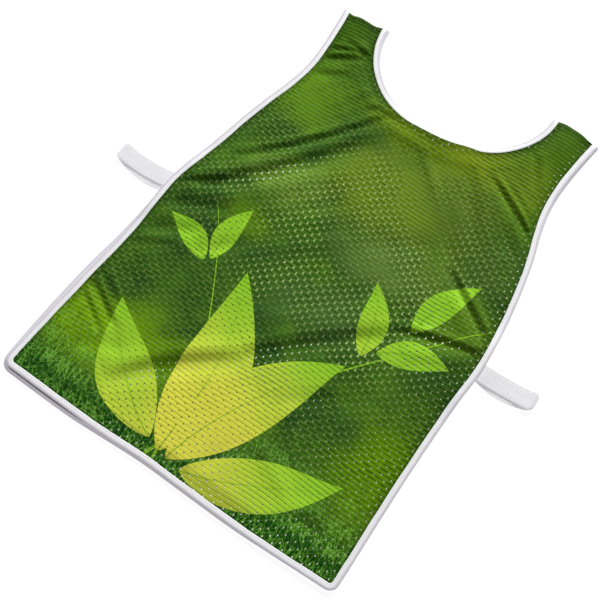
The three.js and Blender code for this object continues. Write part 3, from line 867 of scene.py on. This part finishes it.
LEAVES = columns("x y angle long half bend ripe", [
    (-48, -322, 138, 190, 38, 16, 0.55),
    (-30, -330, 100, 262, 46, -18, 0.95),
    (-16, -332, 62, 255, 44, 16, 1.0),
    (6, -334, 28, 205, 34, -12, 0.6),
    (124, -70, 18, 96, 20, 8, 0.2),
    (110, -86, 112, 104, 20, -8, 0.3),
    (146, -22, 66, 112, 20, 8, 0.1),
    (-134, -92, 158, 84, 17, -6, 0.15),
    (-128, -86, 84, 92, 17, 7, 0.2),
])


def leaf(finish, u, v, x, y, angle, long, half, bend):
    """A pointed leaf's mask, and the share of its length at each place."""
    turn = math.radians(angle)
    from_x, from_y = u - x, v - y
    along = (from_x * math.cos(turn) + from_y * math.sin(turn)) / long
    share = finish.node("ShaderNodeClamp", {}, {"Value": along})
    hump = share * (1 - share) * 4
    aside = from_y * math.cos(turn) - from_x * math.sin(turn) - hump * bend
    outline = (share ** 0.8 * math.pi).math("SINE") * half
    mask = finish.step(outline - aside.math("ABSOLUTE"), 0.0, 0.9)
    return mask, share, aside


def stem(finish, u, v, foot, low, top, lean, curl, wide):
    """A slim curved stem's mask, from its foot at the height low up to top."""
    up = v - low
    aside = u - foot - up * lean - up * up * curl
    taper = 1 - finish.step(v, low, top) * 0.6
    inside = finish.step(wide * taper - aside.math("ABSOLUTE"), 0.0, 0.8)
    return inside * finish.step(v, low, low + 2) * (1 - finish.step(v, top - 2, top))


def print_colour(finish, across, along):
    u, v = across / MM, along / MM
    place = finish.join(across, along)
    mottle = finish.noise(place, 14, 4, 0.55)
    patches = finish.noise(place, 9, 5, 0.6)
    colour = finish.blend(finish.step(patches, 0.32, 0.72), DEEP_GREEN, MID_GREEN)
    for x, y, wide, high, red, green, blue, share in zip(*WASHES.values()):
        over, up = (u - x) / wide, (v - y) / high
        distance = (over * over + up * up) ** 0.5 + (mottle - 0.5) * 1.1
        mask = (1 - finish.step(distance, 0.25, 1.05)) * share
        colour = finish.blend(mask, colour, ink(red, green, blue))
    hem_shade = 1 - finish.step(v + (mottle - 0.5) * 130, *HEM_SHADE)
    colour = finish.blend(hem_shade * 0.85, colour, HEM_GREEN)
    tall = 1 - finish.step(v + (mottle - 0.5) * 190, *GRASS_TOPS)
    for lean, drift, share, least, blade in BLADE_LAYERS:
        thread = finish.join((across + along * lean) * BLADES_ACROSS + drift, along * BLADES_ALONG)
        strokes = finish.step(finish.noise(thread, 1.0, 0.0, 0.5), least, least + BLADE_SOFT)
        colour = finish.blend(strokes * tall * share, colour, blade)
    motif = 0.0
    for foot, low, top, lean, curl, wide in zip(*STEMS.values()):
        mask = stem(finish, u, v, foot, low, top, lean, curl, wide)
        colour = finish.blend(mask, colour, LEAF_LIME)
        motif = mask.math("MAXIMUM", motif)
    for x, y, angle, long, half, bend, ripe in zip(*LEAVES.values()):
        mask, share, aside = leaf(finish, u, v, x, y, angle, long, half, bend)
        ripeness = (1 - share) * ripe + (mottle - 0.5) * 0.3
        lime = finish.blend(finish.step(ripeness, 0.05, 0.75), LEAF_LIME, LEAF_YELLOW)
        vein = 1 - finish.step(aside.math("ABSOLUTE"), 0.4, 1.6)
        lime = finish.blend(vein * (1 - share) * 0.7, lime, LEAF_VEIN)
        colour = finish.blend(mask, colour, lime)
        motif = mask.math("MAXIMUM", motif)
    return colour, motif, tall


printed = Finish("printed_eyelet_mesh", roughness=0.7, sheen=0.01, specular=0.05)
across, along, rib = knit_surface(printed)
picture, motif, tall = print_colour(printed, across, along)
knit_plane = printed.join(across, along)
pulled = printed.step(printed.noise(knit_plane, 12, 2), 0.36, 0.58)
# Painted shade in the ribs' troughs and painted highlight on their crests, in broken streaks, weaker on the
# motif and the grass
streaks = printed.noise(printed.join(across * 75, along * 460), 1.0, 2)
broken = 0.35 + printed.step(streaks, 0.36, 0.6) * 1.15
rib_shade = (1 - rib) * (0.14 + pulled * 0.38) * broken * (1 - motif * 0.45) * (1 - tall * 0.75)
lit = rib * printed.step(streaks, 0.5, 0.68) * (0.1 + pulled * 0.28) * (1 - motif) * (1 - tall * 0.8)
picture = printed.blend(lit, picture, LIT_RIB)
shaded = printed.darken(rib_shade, picture, (0.16, 0.24, 0.12, 1))
# Painted shade on the cloth along its bound edges, darkest next to the binding
from_edge = printed.mapped("edge")[0] / MM
edge_shade = 0.6 - printed.step(from_edge, 8, 11) * 0.35 - printed.step(from_edge, 10, 22) * 0.25
shaded = printed.darken(edge_shade, shaded, (0.1, 0.16, 0.1, 1))
shaded = printed.darken(1.0, shaded, PRINT_DEPTH)
over, up = (across / MM - 20) / 240, (along / MM - 30) / 200
chest = 1 - printed.step((over * over + up * up) ** 0.5, 0.55, 1.05)
slack_strap = printed.step(along / MM, 236, 300)
yarn = bare_yarn(printed, across, along) * (pulled * chest * 0.75 + 0.2) * (1 - motif)
yarn = yarn * (1 - slack_strap * 0.85)
printed.feed("Base Color", printed.blend(yarn, shaded, BARE_YARN))
knit_bump(printed, across, along, rib)

# The inside of the cloth, where the ink shows through only faintly. It is given a soft emission,
# painted light that stands in for the table's light coming through the thin knit.
INSIDE_GLOW = 0.05
inside_mesh = Finish("unprinted_inside", roughness=0.8, sheen=0.1)
across, along, rib = knit_surface(inside_mesh)
patches = inside_mesh.noise(inside_mesh.join(across, along), 30)
inside_mesh.glow(inside_mesh.blend(patches, ink(150, 176, 92), ink(182, 204, 124)), INSIDE_GLOW)
knit_bump(inside_mesh, across, along, rib)

for finish in (printed, inside_mesh):
    front_cloth.data.materials.append(finish.material)

# The back: the same cut in the same knitted polyester, seamed to the front at the two shoulders.
# It lies under the front with its printed face down on the table.
back_cloth = lay_cloth("back_cloth", BACK_CUT, back_level)

under_print = Finish("printed_back_mesh", roughness=0.7, sheen=0.01, specular=0.05)
across, along, rib = knit_surface(under_print)
patches = under_print.noise(under_print.join(across, along), 9, 4, 0.55)
ground = under_print.blend(under_print.step(patches, 0.3, 0.7), DEEP_GREEN, STRAP_GREEN)
hem_shade = 1 - under_print.step(along / MM, HEM_LINE + 20, HEM_LINE + 170)
ground = under_print.blend(hem_shade * 0.9, ground, HEM_GREEN)
# Painted shade in the ribs' troughs
ground = under_print.darken((1 - rib) * 0.35, ground, (0.30, 0.36, 0.30, 1))
under_print.feed("Base Color", under_print.darken(1.0, ground, PRINT_DEPTH))
knit_bump(under_print, across, along, rib)
for finish in (under_print, inside_mesh):
    back_cloth.data.materials.append(finish.material)

# The binding: a soft white woven tape, folded over the cloth's raw edge and stitched through.
# One length runs down the left side, along the hem and up the right side of each panel.
TAPE_UNDER = [
    (7.3, -0.4), (7.4, -0.58), (7.1, -0.76), (5.5, -0.84), (3.2, -0.92), (1.0, -0.95), (-0.5, -0.88),
    (-1.2, -0.5),
]
TAPE_INNER = [(3.5, 0.4), (-0.2, 0.4), (-0.2, -0.4), (3.5, -0.4)]
TAPE_SECTION = np.array(TAPE_UNDER + [(-1.3, 0.0)] + [(x, -z) for x, z in TAPE_UNDER[::-1]] + TAPE_INNER)
TAPE_END_DROP = 0.3
TAPE_END_ROUND = 5.0
ROLLED_NARROWER = 0.3
STITCH_IN = 5.9
STITCH_UP = 0.8
STITCH_LONG = 2.6
STITCH_STEP = 3.6
STITCH_WIDE = 0.45
STITCH_START = 2.0


def travelled(line):
    """How far along a line each of its points is."""
    return np.concatenate([[0], np.cumsum(np.hypot(*np.diff(line[:, :2], axis=0).T))])


def left_of(line):
    """Unit ways to a line's left. A bound edge has its cloth there."""
    ahead = np.gradient(line, axis=0)
    ahead /= np.hypot(ahead[:, 0], ahead[:, 1])[:, None]
    return np.column_stack([-ahead[:, 1], ahead[:, 0]])


def puckers(run, seed):
    """Uneven waves along a sewn edge, about 1 at their highest."""
    return (np.sin(run / 9.5 + seed) + np.sin(run / 5.3 + 2 * seed) * 0.5 + np.sin(run / 23 + 3 * seed)) / 2.2


def swept_mesh(name, points, run, around, smooth_angle, is_mirrored=False):
    """A section carried along a run: its walls, its two ends, and a map of its weave."""
    count = len(around)
    ring = np.arange(count)
    a = np.arange(len(run) - 1)[:, None] * count + ring
    b = a - ring + (ring + 1) % count
    walls = np.stack([a, a + count, b + count, b], 2).reshape(-1, 4)
    last = (len(run) - 1) * count
    ends = [list(range(count)), list(range(last + count - 1, last - 1, -1))]
    if is_mirrored:
        walls = walls[:, ::-1]
        ends = [end[::-1] for end in ends]
    made = mesh_object(name, points, walls.tolist() + ends, smooth_angle)
    add_map(made, "weave", np.repeat(run, count), np.tile(around, len(run)))
    return made


def tape_mesh(name, line, level, seed, width, bend):
    """The folded tape along a bound edge, its width a share of the full one at each point."""
    run, onto, section = travelled(line), left_of(line), TAPE_SECTION
    wide = (1 + 0.04 * puckers(run, seed)) * width
    from_end = np.minimum(run, run[-1] - run)
    end = 1 - smoothstep(0, TAPE_END_ROUND, from_end)
    middle = level(*line.T) + 0.1 * puckers(run, seed + 1) - TAPE_END_DROP * end
    rounded = 1 - 0.35 * end**2
    inward = section[:, 0] * np.where(section[:, 0] > 0, wide[:, None], 1)
    x, y = (line[:, None, k] + onto[:, None, k] * inward for k in range(2))
    offset = section[None, :, 1] * rounded[:, None]
    points = bend(x.ravel(), y.ravel(), np.repeat(middle, len(section)), offset.ravel())
    tape = swept_mesh(name, points, run, travelled(section), smooth_angle=60)
    seam = line + onto * (STITCH_IN * wide[:, None])
    return tape, bend(*seam.T, middle, STITCH_UP * rounded)


bpy.ops.mesh.primitive_uv_sphere_add(segments=6, ring_count=4, radius=0.5)
stitch = bpy.context.object
stitch_points = np.array([vertex.co[:] for vertex in stitch.data.vertices])
stitch_faces = [list(face.vertices) for face in stitch.data.polygons]
bpy.data.objects.remove(stitch)


def sew(name, seam, finish):
    """A row of stitches along a seam line, each a small pad of thread, joined in one mesh."""
    run = travelled(seam)
    at = np.arange(STITCH_START, run[-1] - STITCH_START, STITCH_STEP)
    centres = np.stack([np.interp(at, run, seam[:, k]) for k in range(3)], 1)
    ahead = np.stack([np.interp(at + 1, run, seam[:, k]) for k in range(3)], 1) - centres
    ahead /= np.linalg.norm(ahead, axis=1)[:, None]
    aside = np.cross([0, 0, 1], ahead)
    aside /= np.linalg.norm(aside, axis=1)[:, None]
    up = np.cross(ahead, aside)
    points = (
        centres[:, None]
        + ahead[:, None] * stitch_points[None, :, :1] * STITCH_LONG
        + aside[:, None] * stitch_points[None, :, 1:2] * STITCH_WIDE
        + up[:, None] * stitch_points[None, :, 2:] * STITCH_WIDE
    )
    faces = [[k * len(stitch_points) + i for i in face] for k in range(len(at)) for face in stitch_faces]
    row = mesh_object(name, points.reshape(-1, 3), faces, smooth_angle=80)
    row.data.materials.append(finish.material)
    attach(row, "root")
    return row


# The tapes are given some emission, painted light that stands in for the table's light coming
# through the thin tape and lifts their shaded parts. Each is whitest on its sewn strip, with painted
# shade round its fold. The back's is a greyer copy, painted shade for the front's shadow over it,
# with a near black band of painted shade in the gap at one corner.
TAPE_GLOW = {"front": 0.25, "back": 0.42}
TAPE_FOLD = (11.8, 14.6)
GAP_ROUND = (14.1, 14.8)
GAP_START = (0.672, 0.7)
GAP_END = (0.78, 0.9)


def tape_finish(name, shaded_fold_tone, strip_tone):
    """A white tape's finish and its tone, with painted shade round the fold, and its places along and round
    the tape in metres.
    """
    finish = Finish(name, roughness=0.75, sheen=0.2, specular=0.2)
    along_tape, round_tape = finish.mapped("weave")
    twill = ((along_tape + round_tape) * (2 * math.pi / 0.0011)).math("SINE")
    threads = (round_tape * (2 * math.pi / 0.0007)).math("SINE")
    unevenness = finish.noise(finish.join(along_tape, round_tape), 45, 2)
    # Painted shade: the tape is duller round its rounded fold and whitest on its flat sewn strip
    on_strip = finish.step(round_tape / MM + (unevenness - 0.5) * 2, *TAPE_FOLD)
    tone = finish.blend(on_strip, shaded_fold_tone, strip_tone)
    finish.bump(twill * 0.5 + threads * 0.3 + unevenness * 0.6, distance=0.00012, strength=0.6)
    return finish, tone, along_tape, round_tape


white_tape, tone, _, _ = tape_finish("white_binding_tape", ink(204, 201, 208), ink(234, 234, 236))
white_tape.glow(tone, TAPE_GLOW["front"])

# The back's tape: the same tape in greyer tones, painted shade for the front's shadow over it, and with
# stronger emission, painted light that lifts it
shaded_under_tape, tone, along_tape, round_tape = tape_finish(
    "white_binding_tape_painted_shade", ink(194, 191, 199), ink(204, 201, 208))
# Painted shade: a near black band where the front's tape covers the back's, near the hem's left corner
gap_shade = shaded_under_tape.step(round_tape / MM, *GAP_ROUND)
gap_shade = gap_shade * shaded_under_tape.step(along_tape, *GAP_START) * (1 - shaded_under_tape.step(along_tape, *GAP_END))
shaded_under_tape.glow(shaded_under_tape.blend(gap_shade, tone, ink(24, 22, 26)), TAPE_GLOW["back"])

white_thread = Finish("white_thread", roughness=0.55, sheen=0.2)
ply = white_thread.node("ShaderNodeTexWave", {"wave_type": "BANDS"}, {"Scale": 900.0})
white_thread.feed("Base Color", white_thread.blend(ply, ink(214, 212, 220), ink(240, 239, 244)))
white_thread.bump(ply, distance=0.0001, strength=0.6)


def front_edge_level(x, y):
    """The front's level along its bound edge, before it turns down at the shoulder."""
    return FRONT_EDGE_LEVEL + edge_lift(x, y)


EDGES = [
    {"layer": "front", "cut": FRONT_CUT, "level": front_edge_level, "seed": 4.6},
    {"layer": "back", "cut": BACK_CUT, "level": back_level, "seed": 6.3},
]
trims = {"front": [], "back": []}
for edge in EDGES:
    layer, cut = edge["layer"], edge["cut"]
    for place, line in (("edge", cut.side_line(TAPE_OUTSIDE)), ("neck", cut.neck_line(TAPE_OUTSIDE))):
        width, bend = np.ones(len(line)), lie_flat
        if (layer, place) == ("front", "neck"):
            roll = read_within(NECK_TURN, "turn", "roll", neck_turn(*line.T))
            width, bend = 1 - ROLLED_NARROWER * roll, neck_curl
        tape, seam = tape_mesh(f"{layer}_{place}_tape", line, edge["level"], edge["seed"], width, bend)
        tape.data.materials.append((shaded_under_tape if cut.is_back else white_tape).material)
        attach(tape, "root")
        stitches = sew(f"{layer}_{place}_stitching", seam, white_thread)
        sides = ("neck",) if place == "neck" else ("left", "hem", "right")
        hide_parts(*(f"{side}_tape_{layer}" for side in sides))
        trims[layer] += [tape, stitches]

# The elastics: a woven band of white elastic at each side, sewn to the back's edge, folded
# outward in a flat loop and sewn to the front's edge. The fold stays a little open.
ELASTIC_WIDE = 24
ELASTIC_THICK = 1.1
BANDS = [
    {"side": "left", "sign": -1, "edge": 243, "fold": 326.2, "at_back": -31, "at_front": -22.5,
     "at_fold": -22, "bow_under": -6, "bow_over": -3},
    {"side": "right", "sign": 1, "edge": 248, "fold": 326.2, "at_back": -19.5, "at_front": -17.5,
     "at_fold": -12.5, "bow_under": -6.5, "bow_over": -1},
]
BAND_ROUTE = [
    ("edge", -8, 2.75), ("edge", -1, 2.75), ("edge", 4, 2.6), ("edge", 13, 1.5), ("edge", 23, 0.85),
    ("edge", 33, 0.6), ("fold", -28, 0.6), ("fold", -14, 0.6), ("fold", -7, 0.62), ("fold", -2.6, 1.2),
    ("fold", -0.7, 2.9), ("fold", -2.8, 4.5), ("fold", -8, 4.5), ("fold", -17, 2.9), ("fold", -30, 1.95),
    ("edge", 35, 1.8), ("edge", 24, 2.2), ("edge", 14, 3.0), ("edge", 5, 4.05), ("edge", -1, 4.2),
    ("edge", -8, 4.2),
]
BAND_FOLD_ROW = 10
BAND_STATIONS = 6
BAND_ACROSS = 16
BAND_BEAD = 0.12
BAND_EDGE_THINNER = 0.35
BAND_TURN_STATIONS = 4
# How strongly the band's colour is given as emission: painted light that lifts its shaded parts
ELASTIC_GLOW = 0.36
FOLD_ROUND = 2.6
FOLD_ROUND_REACH = 9


def smooth_route(route, each):
    """A route's points with more between them, on a curve through all of them."""
    points = np.array(route, float)
    padded = np.concatenate([[2 * points[0] - points[1]], points, [2 * points[-1] - points[-2]]])
    made = []
    for k in range(1, len(padded) - 2):
        p0, p1, p2, p3 = padded[k - 1:k + 3]
        for t in np.arange(each) / each:
            made.append(0.5 * (2 * p1 + (p2 - p0) * t + (2 * p0 - 5 * p1 + 4 * p2 - p3) * t**2
                               + (3 * p1 - p0 - 3 * p2 + p3) * t**3))
    return np.array(made + [points[-1]])


def band_mesh(band):
    """The folded band: its section follows the route out to the fold and back."""
    route = smooth_route([(band[start] + out, z) for start, out, z in BAND_ROUTE], BAND_STATIONS)
    face = left_of(route)
    from_turn = np.arange(len(route)) - BAND_FOLD_ROW * BAND_STATIONS
    leg = smoothstep(-BAND_TURN_STATIONS, BAND_TURN_STATIONS, from_turn)
    share = np.clip((route[:, 0] - band["edge"]) / (band["fold"] - band["edge"]), 0, 1)
    at_side = band["at_back"] + (band["at_front"] - band["at_back"]) * leg
    bow = band["bow_under"] + (band["bow_over"] - band["bow_under"]) * leg
    middle = at_side + (band["at_fold"] - at_side) * share + bow * 4 * share * (1 - share)
    across = np.linspace(-1, 1, BAND_ACROSS)
    bead = ELASTIC_THICK / 2 * (1 - BAND_EDGE_THINNER * across**8) + BAND_BEAD * np.abs(across) ** 24
    ring = np.concatenate([np.column_stack([across, bead]), np.column_stack([across[::-1], -bead])])
    points = np.empty((len(route), len(ring), 3))
    near_fold = smoothstep(-FOLD_ROUND_REACH, 0, route[:, 0] - band["fold"])
    drawn_in = FOLD_ROUND * near_fold[:, None] * np.abs(ring[None, :, 0]) ** 6
    points[:, :, 0] = band["sign"] * (route[:, None, 0] + face[:, None, 0] * ring[None, :, 1] - drawn_in)
    points[:, :, 1] = middle[:, None] + ring[None, :, 0] * ELASTIC_WIDE / 2
    points[:, :, 2] = route[:, None, 1] + face[:, None, 1] * ring[None, :, 1]
    run = travelled(route)
    across_band = ring[:, 0] * ELASTIC_WIDE / 2
    made = swept_mesh(
        f"{band['side']}_elastic_band", points.reshape(-1, 3), run, across_band,
        smooth_angle=50, is_mirrored=band["sign"] < 0,
    )
    return made, run[-1] * MM


webbing = Finish("white_woven_elastic", roughness=0.8, sheen=0.2, specular=0.2)
along_band, across_band = webbing.mapped("weave")
cords = (across_band * (2 * math.pi / 0.0016)).math("COSINE")
picks = (along_band * (2 * math.pi / 0.0011)).math("SINE")
band_tone = webbing.noise(webbing.join(along_band * 30, across_band * 90), 1.0, 3)
band_colour = webbing.blend(band_tone, ink(212, 211, 214), ink(228, 227, 230))
# Painted light: the band's colour is also its emission, which lifts its shade at the open fold
webbing.glow(band_colour, ELASTIC_GLOW)
webbing.bump(cords * 0.6 + picks * 0.35, distance=0.0002, strength=0.8)

for band in BANDS:
    elastic, band_long = band_mesh(band)
    elastic.data.materials.append(webbing.material)
    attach(elastic, "root")
    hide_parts(f"elastic_{band['side']}")

# The two panels are attached last, and their parts in the model are hidden.
for cloth, layer, under in ((front_cloth, "front", "back_cloth"), (back_cloth, "back", "table_top")):
    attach(cloth, "root")
    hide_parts(f"{layer}_panel")
